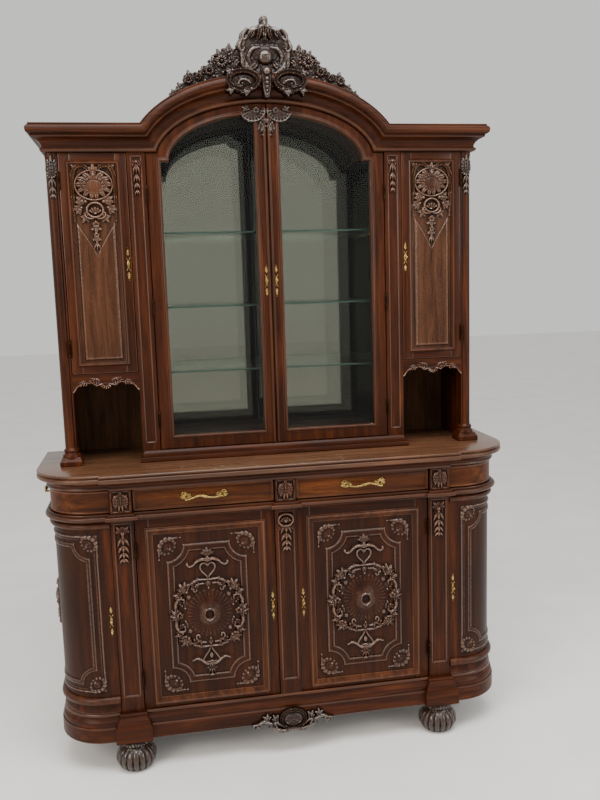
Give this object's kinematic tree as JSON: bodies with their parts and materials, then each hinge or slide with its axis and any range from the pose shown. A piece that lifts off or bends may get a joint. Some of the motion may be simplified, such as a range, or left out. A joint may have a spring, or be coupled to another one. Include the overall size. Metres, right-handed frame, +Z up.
{
  "type": "china cabinet",
  "caption": "Two-part carved oak china cabinet with arched glass doors, towers over open niches, a carved crest, and a bow-ended base with doors and drawers.",
  "frame": {"origin": "middle of the footprint, on the floor", "axes": "+Z up, -Y is the front with the doors, +X to the right as seen from the front"},
  "size_m": [1.696, 0.5, 2.58],
  "materials": {
    "carved_oak": "dark stained and waxed oak, satin",
    "plain_oak": "stained oak boards, satin",
    "back_board": "unfinished aged boards, matt",
    "brass": "aged polished brass",
    "door_glass": "clear bevelled glass",
    "shelf_glass": "clear glass with green edges",
    "mirror": "silvered mirror"
  },
  "bodies": {
    "cabinet": {"front_feet": "carved_oak", "rear_feet": "plain_oak", "plinth_frame": "carved_oak", "plinth_blocks": "carved_oak", "apron_carving": "carved_oak", "base_floor": "plain_oak", "base_back_panel": "back_board", "base_partitions": "plain_oak", "side_pilasters": "carved_oak", "centre_pilaster": "carved_oak", "rear_side_posts": "carved_oak", "drawer_deck": "plain_oak", "frieze_blocks": "carved_oak", "waist_moulding": "carved_oak", "base_shelves": "plain_oak", "base_top": "carved_oak", "upper_plinth": "carved_oak", "vitrine_walls": "plain_oak", "tower_outer_walls": "carved_oak", "upper_back_panel": "back_board", "upper_roof": "plain_oak", "tower_floors": "plain_oak", "niche_aprons": "carved_oak", "tower_shelves": "plain_oak", "upper_pilasters": "carved_oak", "corner_posts": "carved_oak", "cornice": "carved_oak", "crest_carving": "carved_oak", "mirrors": "mirror", "glass_shelves": "shelf_glass", "shelf_pegs": "brass", "fixed_hinge_knuckles": "brass"},
    "door_glass_right": {"right_glass_door_frame": "carved_oak", "right_glass_door_pane": "door_glass", "right_glass_door_fittings": "brass"},
    "door_glass_left": {"left_glass_door_frame": "carved_oak", "left_glass_door_pane": "door_glass", "left_glass_door_fittings": "brass"},
    "door_tower_right": {"right_tower_door": "carved_oak", "right_tower_door_fittings": "brass"},
    "door_tower_left": {"left_tower_door": "carved_oak", "left_tower_door_fittings": "brass"},
    "door_base_right": {"right_base_door_frame": "carved_oak", "right_base_door_panel": "carved_oak", "right_base_door_fittings": "brass"},
    "door_base_left": {"left_base_door_frame": "carved_oak", "left_base_door_panel": "carved_oak", "left_base_door_fittings": "brass"},
    "door_end_right": {"right_end_door": "carved_oak", "right_end_door_fittings": "brass"},
    "door_end_left": {"left_end_door": "carved_oak", "left_end_door_fittings": "brass"},
    "drawer_base_right": {"right_base_drawer": "carved_oak", "right_base_drawer_pull": "brass"},
    "drawer_end_right": {"right_end_drawer": "carved_oak", "right_end_drawer_pull": "brass"},
    "drawer_base_left": {"left_base_drawer": "carved_oak", "left_base_drawer_pull": "brass"},
    "drawer_end_left": {"left_end_drawer": "carved_oak", "left_end_drawer_pull": "brass"}
  },
  "joints": [
    {"name": "glass_door_right_swing", "type": "hinge", "parent": "cabinet", "child": "door_glass_right", "pos_m": [0.4175, -0.0492, 1.6], "axis": [0, 0, 1], "range_deg": [0, 100]},
    {"name": "glass_door_left_swing", "type": "hinge", "parent": "cabinet", "child": "door_glass_left", "pos_m": [-0.4175, -0.0492, 1.6], "axis": [0, 0, -1], "range_deg": [0, 100]},
    {"name": "tower_door_right_swing", "type": "hinge", "parent": "cabinet", "child": "door_tower_right", "pos_m": [0.7055, -0.0492, 1.77], "axis": [0, 0, 1], "range_deg": [0, 100]},
    {"name": "tower_door_left_swing", "type": "hinge", "parent": "cabinet", "child": "door_tower_left", "pos_m": [-0.7055, -0.0492, 1.77], "axis": [0, 0, -1], "range_deg": [0, 100]},
    {"name": "base_door_right_swing", "type": "hinge", "parent": "cabinet", "child": "door_base_right", "pos_m": [0.522, -0.1942, 0.563], "axis": [0, 0, 1], "range_deg": [0, 100]},
    {"name": "base_door_left_swing", "type": "hinge", "parent": "cabinet", "child": "door_base_left", "pos_m": [-0.522, -0.1942, 0.563], "axis": [0, 0, -1], "range_deg": [0, 100]},
    {"name": "end_door_right_swing", "type": "hinge", "parent": "cabinet", "child": "door_end_right", "pos_m": [0.8042, 0.2135, 0.563], "axis": [0, 0, 1], "range_deg": [0, 90]},
    {"name": "end_door_left_swing", "type": "hinge", "parent": "cabinet", "child": "door_end_left", "pos_m": [-0.8042, 0.2135, 0.563], "axis": [0, 0, -1], "range_deg": [0, 90]},
    {"name": "base_drawer_right_slide", "type": "slide", "parent": "cabinet", "child": "drawer_base_right", "axis": [0, -1, 0], "range_m": [0, 0.3]},
    {"name": "end_drawer_right_slide", "type": "slide", "parent": "cabinet", "child": "drawer_end_right", "axis": [1, 0, 0], "range_m": [0, 0.13]},
    {"name": "base_drawer_left_slide", "type": "slide", "parent": "cabinet", "child": "drawer_base_left", "axis": [0, -1, 0], "range_m": [0, 0.3]},
    {"name": "end_drawer_left_slide", "type": "slide", "parent": "cabinet", "child": "drawer_end_left", "axis": [-1, 0, 0], "range_m": [0, 0.13]}
  ]
}
